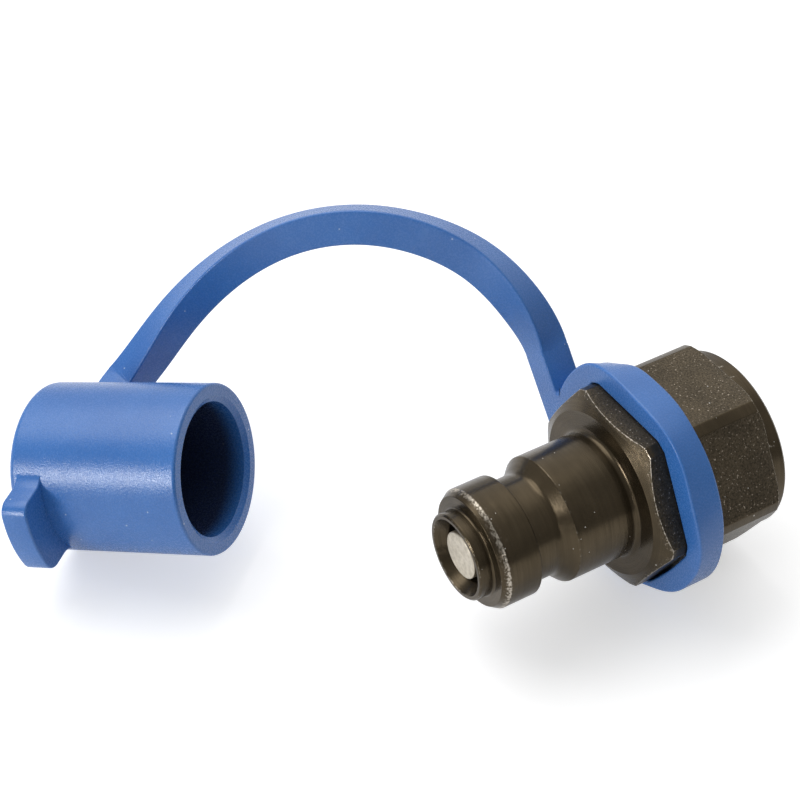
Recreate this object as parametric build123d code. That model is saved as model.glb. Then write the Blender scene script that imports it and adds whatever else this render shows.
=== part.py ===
"""Quick release plug: a hexagon-bar coupling half with a spring valve, and its tethered dust cap.

The plug lies along X with its nose towards -X. Stations along the plug are measured from the
nose tip, and the finished pieces are then moved so that the origin is on the axis of the rear
port, at the inner end of its mouth chamfer. The plug rests on the lower flat of the cap's
ring, and the dust cap lies beside the nose, at the end of its strap. All sizes are millimetres.
"""
import os
from math import cos, radians, sin, tan

from build123d import *

# Plug body: nose, locking collar, locking groove and guide cylinder
nose_radius = 6.4
nose_edge = 0.25
collar_front = 2.25
collar_radius = 8.9
collar_length = 6.2
collar_chamfer = 1.15
groove_radius = 7.6
groove_length = 5.75
groove_ramp_angle = 45.0
groove_root_fillet = 1.2
guide_radius = 9.4
guide_length = 8.1
edge_break = 0.2

# Plug body: neck, hexagon and rear collar
neck_step = 0.18
neck_land = 0.35
neck_fillet = 1.45
hex_across_flats = 27.0
hex_corner_radius = 15.14
hex_length = 20.4
hex_chamfer_angle = 30.0
hex_face_radius = 12.5
hex_shoulder_drop = 0.84
rear_collar_radius = 13.4
rear_collar_length = 2.35
rear_edge = 0.4

# Plug body: mouth, valve seat, valve chamber and rear port
mouth_radius = 5.2
mouth_edge = 0.25
mouth_depth = 2.6
seat_throat_radius = 4.6
seat_throat_length = 0.6
valve_chamber_radius = 6.2
seat_cone_angle = 45.0
guide_shoulder = 19.0
guide_bore_radius = 7.2
snap_groove_radius = 7.75
port_minor_radius = 18.631 / 2
port_depth = 15.0
port_mouth_chamfer = 1.3
port_bottom_angle = 31.0

# Valve: poppet, seal, spring, guide and snap ring
poppet_recess = 0.8
poppet_tip_radius = 3.5
poppet_tip_edge = 0.15
poppet_head_radius = 5.5
poppet_head_thickness = 1.4
poppet_stem_radius = 1.75
poppet_stem_past_guide = 1.6
seal_section_radius = 0.8
spring_wire_radius = 0.45
spring_mean_radius = 3.1
spring_turns = 4.5
valve_guide_thickness = 2.0
valve_guide_hub_radius = 3.9
valve_guide_boss_radius = 2.9
valve_guide_boss_length = 1.8
valve_guide_arms = 3
valve_guide_arm_width = 2.2
valve_guide_rim = 0.9
snap_ring_thickness = 1.0
snap_ring_width = 1.5
snap_ring_opening = 70.0
snap_ring_ear_radius = 1.25
snap_ring_ear_hole = 0.55

# Clearances between the pieces of the plug
seal_clearance = 0.05
stem_clearance = 0.05
seat_clearance = 0.04
spring_clearance = 0.05

# Dust cap moulding: cap and pull tab
cap_radius = 12.4
cap_length = 27.05
cap_bore_radius = 9.71
cap_lead_in = 0.84
cap_lead_in_depth = 0.57
cap_floor = 2.4
cap_end_round = 1.0
cap_bore_round = 0.8
tab_stand = 4.9
tab_width = 12.2
tab_thickness = 4.1
tab_end_setback = 1.45
tab_corner_share = 0.45
tab_root_share = 0.6

# Dust cap moulding: strap, and the ring stretched over the hexagon
strap_thickness = 5.1
strap_width = 5.25
strap_stub = 4.1
strap_root_fillet = 1.3
ring_front = 27.75
ring_width = 4.7
ring_clearance = 0.06
ring_side_gaps = [0.15, 0.12, 0.12, 0.5, 0.3, 0.15]
ring_walls = [0.96, 2.6, 3.5, 3.65, 3.06, 3.85, 3.7, 3.5, 3.1, 4.0, 3.9, 3.9]
ring_walls += [3.06, 3.7, 3.75, 2.7, 1.1, 2.8, 3.95, 2.8, 1.2, 2.8, 3.5, 2.6]
ring_root_angle = 50.6
ring_root_end = (22.62, 7.67)
ring_root_length = 14.0
ring_root_fillet = 1.5

# Where the dust cap lies: the middle of its closed end seen from the nose tip, and its directions
cap_end_place = (-38.0914, 51.0903, -5.3823)
cap_heading = 132.07
cap_dip = 13.8
cap_roll = 1.45
strap_facing = Vector(-0.722, -1.852, 1.023)
strap_route = [
    (28.73, 26.19, 12.87),
    (25.33, 33.81, 18.3),
    (19.77, 40.83, 21.11),
    (12.52, 47.72, 21.48),
    (4.09, 53.9, 18.75),
    (-4.59, 58.49, 12.82),
    (-12.86, 60.9, 4.76),
]
strap_end_direction = Vector(-0.711, 0.088, -0.697)
strap_bend_radius = 4.0
strap_sections = 24
strap_section_crowding = 1.6

# Stations on the plug that follow from the sizes above
collar_back = collar_front + collar_length
guide_front = collar_back + groove_length
guide_back = guide_front + guide_length
neck_radius = guide_radius - neck_step
neck_end = guide_back + neck_land
hex_front = neck_end + neck_fillet
hex_shoulder_radius = hex_corner_radius - hex_shoulder_drop
hex_back = hex_front + hex_length
plug_length = hex_back + rear_collar_length
port_start = plug_length - port_mouth_chamfer
port_end = port_start - port_depth

# Stations in the waterway and the valve, each taken from what the piece seats on
throat_front = mouth_depth + mouth_radius - seat_throat_radius
throat_back = throat_front + seat_throat_length
seat_slope = tan(radians(seat_cone_angle))
seal_ring_radius = poppet_tip_radius + seal_clearance + seal_section_radius
seal_offset = (seal_section_radius + seal_clearance) / sin(radians(seat_cone_angle))
seal_station = throat_back + (seal_ring_radius - seat_throat_radius) / seat_slope + seal_offset
head_front = seal_station + seal_section_radius + seal_clearance
head_back = head_front + poppet_head_thickness
valve_guide_front = guide_shoulder + seat_clearance
valve_guide_back = valve_guide_front + valve_guide_thickness
valve_guide_end = valve_guide_back + valve_guide_boss_length
valve_guide_radius = guide_bore_radius - seat_clearance
snap_groove_front = valve_guide_back
snap_groove_back = snap_groove_front + snap_ring_thickness + 2 * seat_clearance
snap_ring_radius = snap_groove_radius - seat_clearance
poppet_end = valve_guide_end + poppet_stem_past_guide

# Turn from one side of the hexagon to the next
hex_side_angle = 60.0

# Sizes of the pull tab that follow from how far it stands out of the cap
tab_reach = cap_radius + tab_stand
tab_corner_round = tab_corner_share * tab_stand
tab_root_fillet = tab_root_share * tab_stand

# Directions of the dust cap: its axis runs from the mouth to the closed end
cap_axis = Vector(
    cos(radians(cap_dip)) * cos(radians(cap_heading)),
    cos(radians(cap_dip)) * sin(radians(cap_heading)),
    -sin(radians(cap_dip)),
)
cap_upright = (Vector(0, 0, 1) - cap_axis * cap_axis.Z).normalized()
tab_side = cap_upright.cross(cap_axis)
tab_direction = tab_side * cos(radians(cap_roll)) + cap_upright * sin(radians(cap_roll))
cap_mouth_place = Vector(*cap_end_place) - cap_axis * cap_length
cap_place = Plane(origin=cap_mouth_place, x_dir=tab_direction, z_dir=cap_axis)


def turned(*points):
    """Solid of revolution about X from station and radius pairs."""
    return revolve(make_face(Polyline(*points, close=True)), Axis.X, 360)


def tube(front, back, outer, inner=0.0):
    """Plain ring about X between two stations."""
    return turned((front, inner), (back, inner), (back, outer), (front, outer))


def plate(outline, front, thickness):
    """Flat piece across the plug's axis, from its outline on the YZ plane."""
    return extrude(Pos(front, 0, 0) * (Plane.YZ * outline), thickness)


def body_outline():
    """Half section of everything that the lathe leaves, with two rounded roots."""
    slope = tan(radians(hex_chamfer_angle))
    ramp_run = (guide_radius - groove_radius) / tan(radians(groove_ramp_angle))
    root_start = guide_front - ramp_run
    root_start -= groove_root_fillet * tan(radians(groove_ramp_angle / 2))
    ramp_root = [
        (
            root_start + groove_root_fillet * sin(radians(turn)),
            groove_radius + groove_root_fillet * (1 - cos(radians(turn))),
        )
        for turn in (0, groove_ramp_angle / 2, groove_ramp_angle)
    ]
    neck_root = [
        (
            neck_end + neck_fillet * sin(radians(turn)),
            neck_radius + neck_fillet * (1 - cos(radians(turn))),
        )
        for turn in (0, 45, 90)
    ]
    front_of_ramp = Polyline(
        (0, 0),
        (0, nose_radius - nose_edge),
        (nose_edge, nose_radius),
        (collar_front, nose_radius),
        (collar_front, collar_radius - collar_chamfer),
        (collar_front + collar_chamfer, collar_radius),
        (collar_back - edge_break, collar_radius),
        (collar_back, collar_radius - edge_break),
        (collar_back + edge_break, groove_radius),
        ramp_root[0],
    )
    ramp_to_neck = Polyline(
        ramp_root[2],
        (guide_front, guide_radius),
        (guide_back, guide_radius),
        (guide_back, neck_radius),
        neck_root[0],
    )
    hex_to_rear = Polyline(
        neck_root[2],
        (hex_front, hex_face_radius),
        (hex_front + (hex_corner_radius - hex_face_radius) * slope, hex_corner_radius),
        (hex_back - (hex_corner_radius - hex_shoulder_radius) * slope, hex_corner_radius),
        (hex_back, hex_shoulder_radius),
        (hex_back, rear_collar_radius),
        (plug_length - rear_edge, rear_collar_radius),
        (plug_length, rear_collar_radius - rear_edge),
        (plug_length, 0),
        (0, 0),
    )
    ramp_arc = ThreePointArc(*ramp_root)
    neck_arc = ThreePointArc(*neck_root)
    return make_face([front_of_ramp, ramp_arc, ramp_to_neck, neck_arc, hex_to_rear])


def waterway():
    """Mouth, valve seat, chamber, guide bore and rear port, as one turned core."""
    cone_run = (valve_chamber_radius - seat_throat_radius) / seat_slope
    bottom_run = (port_minor_radius - guide_bore_radius) * tan(radians(port_bottom_angle))
    return turned(
        (0, 0),
        (0, mouth_radius + mouth_edge),
        (mouth_edge, mouth_radius),
        (mouth_depth, mouth_radius),
        (throat_front, seat_throat_radius),
        (throat_back, seat_throat_radius),
        (throat_back + cone_run, valve_chamber_radius),
        (guide_shoulder, valve_chamber_radius),
        (guide_shoulder, guide_bore_radius),
        (port_end - bottom_run, guide_bore_radius),
        (port_end, port_minor_radius),
        (port_start, port_minor_radius),
        (plug_length, port_minor_radius + port_mouth_chamfer),
        (plug_length, 0),
    )


def make_plug_body():
    """The whole body, turned and bored from one length of hexagon bar with flats up and down."""
    bar = plate(RegularPolygon(hex_across_flats / 2, 6, major_radius=False), 0, plug_length)
    lathe_form = revolve(body_outline(), Axis.X, 360)
    snap_groove = tube(snap_groove_front, snap_groove_back, snap_groove_radius)
    return (bar & lathe_form) - waterway() - snap_groove


def make_poppet():
    """Valve poppet: flat-faced tip, head behind the seal, and guide stem."""
    return turned(
        (poppet_recess, 0),
        (poppet_recess, poppet_tip_radius - poppet_tip_edge),
        (poppet_recess + poppet_tip_edge, poppet_tip_radius),
        (head_front, poppet_tip_radius),
        (head_front, poppet_head_radius - edge_break),
        (head_front + edge_break, poppet_head_radius),
        (head_back - edge_break, poppet_head_radius),
        (head_back, poppet_head_radius - edge_break),
        (head_back, poppet_stem_radius),
        (poppet_end - edge_break, poppet_stem_radius),
        (poppet_end, poppet_stem_radius - edge_break),
        (poppet_end, 0),
    )


def make_poppet_seal():
    """O-ring around the poppet's tip, between its head and the seat's cone."""
    return Location((seal_station, 0, 0), (0, 90, 0)) * Torus(seal_ring_radius, seal_section_radius)


def make_valve_spring():
    """Open coil between the poppet's head and the valve guide."""
    front = head_back + spring_clearance + spring_wire_radius
    back = valve_guide_front - spring_clearance - spring_wire_radius
    coil = Helix(
        pitch=(back - front) / spring_turns,
        height=back - front,
        radius=spring_mean_radius,
        center=(front, 0, 0),
        direction=(1, 0, 0),
    )
    wire = Plane(origin=coil @ 0, z_dir=coil % 0) * Circle(spring_wire_radius)
    return sweep(wire, path=coil, is_frenet=True)


def make_valve_guide():
    """Spider that carries the poppet's stem, with open windows for the flow."""
    rim_inner = valve_guide_radius - valve_guide_rim
    arm_length = rim_inner - valve_guide_hub_radius + valve_guide_rim
    arm = Pos((rim_inner + valve_guide_hub_radius) / 2, 0)
    arm *= Rectangle(arm_length, valve_guide_arm_width)
    rim = Circle(valve_guide_radius) - Circle(rim_inner)
    arms = [Rot(0, 0, 360 * n / valve_guide_arms) * arm for n in range(valve_guide_arms)]
    spider = plate(
        rim + Circle(valve_guide_hub_radius) + arms, valve_guide_front, valve_guide_thickness
    )
    boss = tube(valve_guide_back, valve_guide_end, valve_guide_boss_radius)
    bore = tube(valve_guide_front, valve_guide_end, poppet_stem_radius + stem_clearance)
    return spider + boss - bore


def make_snap_ring():
    """Internal snap ring with a drilled ear at each side of its gap."""
    half_opening = radians(snap_ring_opening / 2)
    reach = 2 * snap_ring_radius
    opening = make_face(
        Polyline(
            (0, 0),
            (reach * cos(half_opening), -reach * sin(half_opening)),
            (reach * cos(half_opening), reach * sin(half_opening)),
            close=True,
        )
    )
    ear_place = snap_ring_radius - snap_ring_ear_radius - snap_ring_width / 3
    ear_angle = half_opening + snap_ring_ear_radius / ear_place
    ears = [
        Pos(ear_place * cos(ear_angle), side * ear_place * sin(ear_angle)) for side in (-1, 1)
    ]
    band = Circle(snap_ring_radius) - Circle(snap_ring_radius - snap_ring_width) - opening
    band += [ear * Circle(snap_ring_ear_radius) for ear in ears]
    band -= [ear * Circle(snap_ring_ear_hole) for ear in ears]
    return plate(band, snap_groove_front + seat_clearance, snap_ring_thickness)


def cap_solid():
    """Cap with its strap stub flush with the closed end, and the pull tab set back from it."""
    tab = Pos(tab_reach / 2, 0) * Rectangle(tab_reach, tab_width) & Circle(tab_reach)
    tab = fillet(tab.vertices().filter_by_position(Axis.X, tab_reach / 2, tab_reach), tab_corner_round)
    tab_front = cap_length - tab_end_setback - tab_thickness
    stub_reach = cap_radius + strap_stub
    stub = Pos(-stub_reach / 2, 0) * Rectangle(stub_reach, strap_width)
    cap = extrude(Circle(cap_radius), cap_length)
    cap += extrude(Pos(0, 0, tab_front) * tab, tab_thickness)
    cap += extrude(Pos(0, 0, cap_length - strap_thickness) * stub, strap_thickness)
    for side, width, root in ((1, tab_width, tab_root_fillet), (-1, strap_width, strap_root_fillet)):
        root_place = side * (cap_radius**2 - width**2 / 4) ** 0.5
        corners = cap.edges().filter_by(Axis.Z).filter_by(
            lambda edge: abs(edge.center().X - root_place) < edge_break
        )
        cap = fillet(corners, root)
    rim = cap.faces().sort_by(Axis.Z)[-1].edges().filter_by(
        lambda edge: edge.geom_type == GeomType.CIRCLE and abs(edge.radius - cap_radius) < edge_break
    )
    cap = fillet(rim, cap_end_round)
    return cap


def cap_bore():
    """Inside of the cap, with its lead-in at the mouth and a rounded corner at its floor."""
    core = extrude(Circle(cap_bore_radius), cap_length - cap_floor)
    core = fillet(core.edges().sort_by(Axis.Z)[-1], cap_bore_round)
    lead_in = Cone(
        cap_bore_radius + cap_lead_in,
        cap_bore_radius,
        cap_lead_in_depth,
        align=(Align.CENTER, Align.CENTER, Align.MIN),
    )
    return core + lead_in


def around(radius, angle):
    """Point on the YZ plane at a radius and an angle in degrees from +Y."""
    return (radius * cos(radians(angle)), radius * sin(radians(angle)))


def ring_opening():
    """Opening of the ring: six sides that stand off the plug's flats, and six turned corners."""
    flat = hex_across_flats / 2
    corner = (flat + ring_clearance) / cos(radians(hex_side_angle / 2))
    sides = [
        ThreePointArc(
            around(corner, hex_side_angle * n),
            around(flat + gap, hex_side_angle * (n + 0.5)),
            around(corner, hex_side_angle * (n + 1)),
        )
        for n, gap in enumerate(ring_side_gaps)
    ]
    return make_face(sides) & Circle(hex_corner_radius + ring_clearance)


def ring_outline():
    """Outside of the ring: its walls, added to the hexagon's own radius all round."""
    points = []
    for n, wall in enumerate(ring_walls):
        angle = 360 * n / len(ring_walls)
        from_flat = radians(angle % hex_side_angle - hex_side_angle / 2)
        hexagon = min(hex_across_flats / 2 / cos(from_flat), hex_corner_radius)
        points.append(around(hexagon + wall, angle))
    return make_face(Spline(points, periodic=True))


def ring_solid():
    """Ring stretched over the hexagon, with the root of the strap at its rear corner."""
    ring = ring_outline()
    root = Rectangle(ring_root_length, strap_width, align=(Align.MAX, Align.CENTER))
    root = Pos(*ring_root_end) * Rot(0, 0, ring_root_angle) * root
    outline = ring + root
    old_corners = ring.vertices() + root.vertices()
    corners = outline.vertices().filter_by(
        lambda corner: min(corner.distance_to(old) for old in old_corners) > edge_break
    )
    outline = fillet(corners, ring_root_fillet)
    outline -= ring_opening()
    return plate(outline, ring_front, ring_width)


def strap_path():
    """Middle line of the strap: a long curve from the ring, then the bend into the cap's stub."""
    root_end = (ring_front + ring_width / 2, *ring_root_end)
    stub_end = cap_place.from_local_coords((-cap_radius - strap_stub, 0, cap_length - strap_thickness / 2))
    half_turn = radians(strap_end_direction.get_angle(tab_direction) / 2)
    corner = stub_end - tab_direction * strap_bend_radius * tan(half_turn)
    bend_start = corner - strap_end_direction.normalized() * strap_bend_radius * tan(half_turn)
    inwards = (tab_direction - strap_end_direction).normalized()
    bend_middle = corner + inwards * strap_bend_radius * (1 / cos(half_turn) - 1)
    start_direction = (0, cos(radians(ring_root_angle)), sin(radians(ring_root_angle)))
    long_curve = Spline(
        root_end, *strap_route, bend_start, tangents=[start_direction, strap_end_direction]
    )
    return Wire([long_curve, ThreePointArc(bend_start, bend_middle, stub_end)])


def strap_solid():
    """Strap of nearly square section, which turns its face from the ring's front to the cap's."""
    path = strap_path()
    sections = []
    for n in range(strap_sections + 1):
        u = 1 - (1 - n / strap_sections) ** strap_section_crowding
        along = path % u
        facing = Vector(-1, 0, 0) * (1 - u) ** 2 + strap_facing * 2 * u * (1 - u) - cap_axis * u**2
        facing -= along * facing.dot(along)
        thickness = ring_width + (strap_thickness - ring_width) * u
        place = Plane(origin=path @ u, x_dir=facing, z_dir=along)
        sections.append(place * Rectangle(thickness, strap_width))
    return loft(sections)


def make_dust_cap():
    """Cap, tab, strap and ring as the one soft moulding that they are."""
    cup = cap_solid() - cap_bore()
    return cap_place * cup + strap_solid() + ring_solid()


os.makedirs("parts", exist_ok=True)
pieces = {
    "plug_body": make_plug_body(),
    "dust_cap": make_dust_cap(),
    "poppet": make_poppet(),
    "poppet_seal": make_poppet_seal(),
    "valve_spring": make_valve_spring(),
    "valve_guide": make_valve_guide(),
    "snap_ring": make_snap_ring(),
}
for name, piece in pieces.items():
    export_step(Pos(-port_start, 0, 0) * piece, os.path.join("parts", name + ".step"))
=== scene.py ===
"""Looks of the quick release plug: turned steel body, valve and soft blue dust cap moulding.

Sizes are written in millimetres, and stations along the plug count from its nose tip, as in the
part's own source. They become metres in the row frame when a mesh is made.
"""

import math

import bmesh
import bpy
import numpy as np
from mathutils import Matrix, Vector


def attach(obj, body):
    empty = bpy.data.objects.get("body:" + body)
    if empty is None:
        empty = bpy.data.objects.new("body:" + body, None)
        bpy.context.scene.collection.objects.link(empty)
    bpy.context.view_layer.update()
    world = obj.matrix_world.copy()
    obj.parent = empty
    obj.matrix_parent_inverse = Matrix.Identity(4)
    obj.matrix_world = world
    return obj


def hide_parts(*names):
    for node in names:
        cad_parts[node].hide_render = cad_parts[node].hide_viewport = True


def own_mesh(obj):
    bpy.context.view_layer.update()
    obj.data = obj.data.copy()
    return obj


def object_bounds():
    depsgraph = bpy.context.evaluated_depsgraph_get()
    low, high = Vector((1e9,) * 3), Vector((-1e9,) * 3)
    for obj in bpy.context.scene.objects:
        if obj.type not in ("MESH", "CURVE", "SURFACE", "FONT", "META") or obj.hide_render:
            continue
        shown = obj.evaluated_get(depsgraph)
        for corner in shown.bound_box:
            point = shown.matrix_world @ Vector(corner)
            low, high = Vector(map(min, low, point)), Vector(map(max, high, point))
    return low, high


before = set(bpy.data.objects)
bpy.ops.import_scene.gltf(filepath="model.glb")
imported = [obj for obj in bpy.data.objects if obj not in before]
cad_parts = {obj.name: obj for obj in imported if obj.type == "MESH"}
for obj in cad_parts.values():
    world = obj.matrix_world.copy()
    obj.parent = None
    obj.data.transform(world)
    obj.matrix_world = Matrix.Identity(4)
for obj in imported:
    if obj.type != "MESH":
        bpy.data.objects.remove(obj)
cad_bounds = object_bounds()

MM = 0.001
TAU = 2 * math.pi

# Plug body, as turned
nose_radius = 6.4
collar_front = 2.25
collar_radius = 8.9
collar_chamfer = 1.15
collar_chamfer_rise = 0.75
collar_back = 8.45
groove_radius = 7.6
guide_front = 14.2
guide_radius = 9.4
guide_back = 22.3
neck_radius = 9.22
hex_front = 24.1
hex_half = 13.5
hex_face_radius = 12.5
hex_corner_radius = 15.14
hex_back = 44.5
hex_shoulder_radius = 14.3
hex_chamfer = math.tan(math.radians(30))
hex_side_turn = 60
rear_collar_radius = 13.4
plug_length = 46.85

# Waterway and port
mouth_radius = 5.7
mouth_depth = 1.9
throat_radius = 4.6
chamber_radius = 6.2
guide_bore_radius = 7.2
guide_shoulder = 19.0
throat_end = 3.8
chamber_start = 5.4
snap_groove = (21.04, 22.12, 7.75)
port_start = 45.55
port_end = 30.55
port_radius = 9.3155
port_mouth_chamfer = 1.3
thread_pitch = 1.814
thread_depth = 1.162
thread_runout = 1.6

# Valve
poppet_recess = 0.8
poppet_tip_radius = 3.5
seal_station = 4.752
seal_ring_radius = 4.35
seal_section = 0.8
head_front = 5.602
head_back = 7.002
head_radius = 5.5
stem_radius = 1.75
stem_end = 24.44
spring_radius = 3.1
spring_wire = 0.45
spring_turns = 4.5
spring_front = 7.502
spring_back = 18.54
lathe_columns = 96

# Dust cap moulding
cap_radius = 12.4
cap_length = 27.05
cap_bore = 9.71
cap_mouth_radius = 10.55
cap_lead_in = 0.57
cap_depth = 24.65
tab_reach = 17.3
tab_width = 12.2
tab_root = 2.94
tab_corner = 2.205
tab_front = 21.5
tab_back = 25.6
flat_thickness = 5.1
strap_width = 5.25
strap_stub = 4.1
strap_stub_root = 1.3
strap_bend = 4.0
strap_inset_thick = 0.016
strap_inset_wide = 0.025
strap_ends_at = 11.2
ring_front = 27.75
ring_width = 4.7
ring_clearance = 0.06
ring_side_gaps = np.array([0.15, 0.12, 0.12, 0.5, 0.3, 0.15])
ring_walls = np.array(
    [0.96, 2.6, 3.5, 3.65, 3.06, 3.85, 3.7, 3.5, 3.1, 4.0, 3.9, 3.9]
    + [3.06, 3.7, 3.75, 2.7, 1.1, 2.8, 3.95, 2.8, 1.2, 2.8, 3.5, 2.6]
)
ring_rear_walls = ring_walls - np.array(
    [0, 0, 0, 0.75, 1.55, 0.6, 0, 0, 0.8, 0.5, 0, 0.4, 0.75, 0.2, 0, 0, 0, 0, 0, 0, 0, 0, 0, 0]
)
ring_root_end = np.array([30.1, 22.62, 7.67])
ring_root_angle = math.radians(50.6)
ring_root_fillet = 1.5
moulded_edge = 0.3

# Place of the dust cap, seen from the nose tip
cap_end = np.array([-38.0914, 51.0903, -5.3823])
cap_heading = math.radians(132.07)
cap_dip = math.radians(13.8)
cap_roll = math.radians(1.45)
strap_route = np.array(
    [
        [28.73, 26.19, 12.87],
        [25.33, 33.81, 18.3],
        [19.77, 40.83, 21.11],
        [12.52, 47.72, 21.48],
        [4.09, 53.9, 18.75],
        [-4.59, 58.49, 12.82],
        [-12.86, 60.9, 4.76],
    ]
)
strap_facing = np.array([-0.722, -1.852, 1.023])


def unit(vector):
    """Vector or rows of vectors scaled to length one."""
    return vector / np.linalg.norm(vector, axis=-1, keepdims=True)


strap_end_direction = unit(np.array([-0.711, 0.088, -0.697]))
cap_axis = np.array(
    [
        math.cos(cap_dip) * math.cos(cap_heading),
        math.cos(cap_dip) * math.sin(cap_heading),
        -math.sin(cap_dip),
    ]
)
cap_upright = unit(np.array([0, 0, 1.0]) - cap_axis * cap_axis[2])
tab_direction = np.cross(cap_upright, cap_axis) * math.cos(cap_roll) + cap_upright * math.sin(cap_roll)
cap_across = np.cross(cap_axis, tab_direction)
cap_turn = np.stack([tab_direction, cap_across, cap_axis])
cap_mouth = cap_end - cap_axis * cap_length


def to_row(points):
    """Station coordinates in millimetres to the row frame in metres: x loses the port's station."""
    return (np.asarray(points, float) - np.array([port_start, 0, 0])) * MM


def cap_to_station(points):
    """Cap coordinates (towards the tab, across, from mouth to closed end) to station coordinates."""
    return points @ cap_turn + cap_mouth


def smooth_min(a, b, reach):
    """Lower of a and b, with the corner between them rounded over the given reach."""
    mix = np.clip(0.5 + 0.5 * (b - a) / reach, 0, 1)
    return b * (1 - mix) + a * mix - reach * mix * (1 - mix)


def smooth_step(value):
    """3t^2 - 2t^3 of the value clipped to 0 to 1."""
    t = np.clip(value, 0, 1)
    return t * t * (3 - 2 * t)


def rounded(points, closed=False, steps=4, support=0.06):
    """Profile through corners (x, y, radius): each corner is an arc tangent to both its sides.

    The arc starts radius * tan(turn / 2) before the corner, and one more point stands a little
    outside each end of it, so that smooth shading stays inside the arc.
    """
    corners = np.array([p[:2] for p in points], float)
    radii = [p[2] if len(p) > 2 else 0.0 for p in points]
    count = len(corners)
    out = []
    for i, radius in enumerate(radii):
        if radius == 0 or (not closed and i in (0, count - 1)):
            out.append(corners[i][None])
            continue
        before = corners[i] - corners[i - 1]
        after = corners[(i + 1) % count] - corners[i]
        length_in, length_out = np.linalg.norm(before), np.linalg.norm(after)
        u, v = before / length_in, after / length_out
        turn = math.atan2(u[0] * v[1] - u[1] * v[0], float(u @ v))
        reach = radius * math.tan(abs(turn) / 2)
        limit = 0.48 * min(length_in, length_out)
        if reach > limit:
            radius *= limit / reach
            reach = limit
        start = corners[i] - u * reach
        side = math.copysign(1.0, turn)
        centre = start + side * radius * np.array([-u[1], u[0]])
        angles = np.linspace(0, turn, steps + 1)
        spoke = start - centre
        arc = centre + np.stack(
            [
                spoke[0] * np.cos(angles) - spoke[1] * np.sin(angles),
                spoke[0] * np.sin(angles) + spoke[1] * np.cos(angles),
            ],
            axis=1,
        )
        extra = min(support, 0.4 * (min(length_in, length_out) - reach))
        out.append(np.vstack([start - u * extra, arc, corners[i] + v * (reach + extra)]))
    return np.vstack(out)


def refined(profile, step):
    """Profile with points added so that no run is longer than step(middle of the run)."""
    out = [profile[:1]]
    for a, b in zip(profile[:-1], profile[1:]):
        length = np.linalg.norm(b - a)
        count = max(1, math.ceil(length / step((a + b) / 2)))
        out.append(a + (b - a) * (np.arange(1, count + 1) / count)[:, None])
    return np.vstack(out)


def grid_mesh(name, points, body, close_rows=False, close_columns=True, flip=False):
    """Mesh of quads on a grid of points (rows, columns, 3) in station millimetres."""
    rows, columns = points.shape[:2]
    row = np.arange(rows if close_rows else rows - 1)
    column = np.arange(columns if close_columns else columns - 1)
    r, c = np.meshgrid(row, column, indexing="ij")
    r2, c2 = (r + 1) % rows, (c + 1) % columns
    quads = np.stack([r * columns + c, r2 * columns + c, r2 * columns + c2, r * columns + c2], -1)
    quads = quads.reshape(-1, 4)
    if flip:
        quads = quads[:, ::-1]
    mesh = bpy.data.meshes.new(name)
    mesh.from_pydata(to_row(points.reshape(-1, 3)).tolist(), [], quads.tolist())
    piece = bpy.data.objects.new(name, mesh)
    bpy.context.scene.collection.objects.link(piece)
    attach(piece, body)
    return piece


def clean(piece, merge=2e-6):
    """Doubles merged, so that poles and seams are closed, and faces turned outwards."""
    work = bmesh.new()
    work.from_mesh(piece.data)
    bmesh.ops.remove_doubles(work, verts=work.verts, dist=merge)
    bmesh.ops.dissolve_degenerate(work, edges=work.edges, dist=merge / 4)
    bmesh.ops.recalc_face_normals(work, faces=work.faces)
    work.to_mesh(piece.data)
    work.free()
    return piece


def shade(piece, angle=32.0):
    """Smooth shading, with edges sharper than the angle left crisp."""
    mesh = piece.data
    mesh.polygons.foreach_set("use_smooth", np.ones(len(mesh.polygons), bool))
    mesh.set_sharp_from_angle(angle=math.radians(angle))
    return piece


def turned_piece(name, profile, body, close_rows=False):
    """Lathe form: (x, r) turned about the plug's axis, as (x, r cos a, r sin a)."""
    angles = np.linspace(0, TAU, lathe_columns, endpoint=False)
    x, r = profile[:, :1], profile[:, 1:2]
    x = np.broadcast_to(x, (len(profile), lathe_columns))
    points = np.stack([x, r * np.cos(angles), r * np.sin(angles)], -1)
    return grid_mesh(name, points, body, close_rows=close_rows)


def body_angles():
    """Angles about the axis: rows close in on both edges of each turned corner of the hexagon."""
    edge = 30 - math.degrees(math.acos(hex_half / hex_corner_radius))
    beside = 0.35
    rows = [-edge - beside, -edge + beside, edge - beside, edge + beside]
    corner = np.concatenate([np.linspace(-edge, edge, 7), rows])
    flat = np.linspace(edge + beside, hex_side_turn - beside - edge, 21)[1:-1]
    sector = np.sort(np.concatenate([corner, flat]))
    return np.radians(np.concatenate([sector + hex_side_turn * n for n in range(6)]))


def hexagon(angles):
    """Distance of the hexagon's side at each angle: half width over cos(angle from its normal)."""
    from_normal = (np.degrees(angles) + hex_side_turn) % hex_side_turn - hex_side_turn / 2
    return hex_half / np.cos(np.radians(from_normal))


def front_profile():
    """Half section of the plug from the nose's face to the hexagon's front face."""
    rise = collar_radius - collar_chamfer_rise
    ramp_root = guide_front - (guide_radius - groove_radius)
    return rounded(
        [
            (0, mouth_radius),
            (0, nose_radius - 0.25, 0.12),
            (0.25, nose_radius, 0.12),
            (collar_front, nose_radius, 0.35),
            (collar_front, rise, 0.12),
            (collar_front + collar_chamfer, collar_radius, 0.2),
            (collar_back - 0.2, collar_radius, 0.15),
            (collar_back, collar_radius - 0.2, 0.15),
            (collar_back + 0.2, groove_radius, 0.45),
            (ramp_root, groove_radius, 1.3),
            (guide_front, guide_radius, 0.25),
            (guide_back, guide_radius, 0.1),
            (guide_back, neck_radius, 0.06),
            (hex_front, neck_radius, 1.45),
            (hex_front, hex_face_radius),
        ],
        steps=6,
    )


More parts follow.
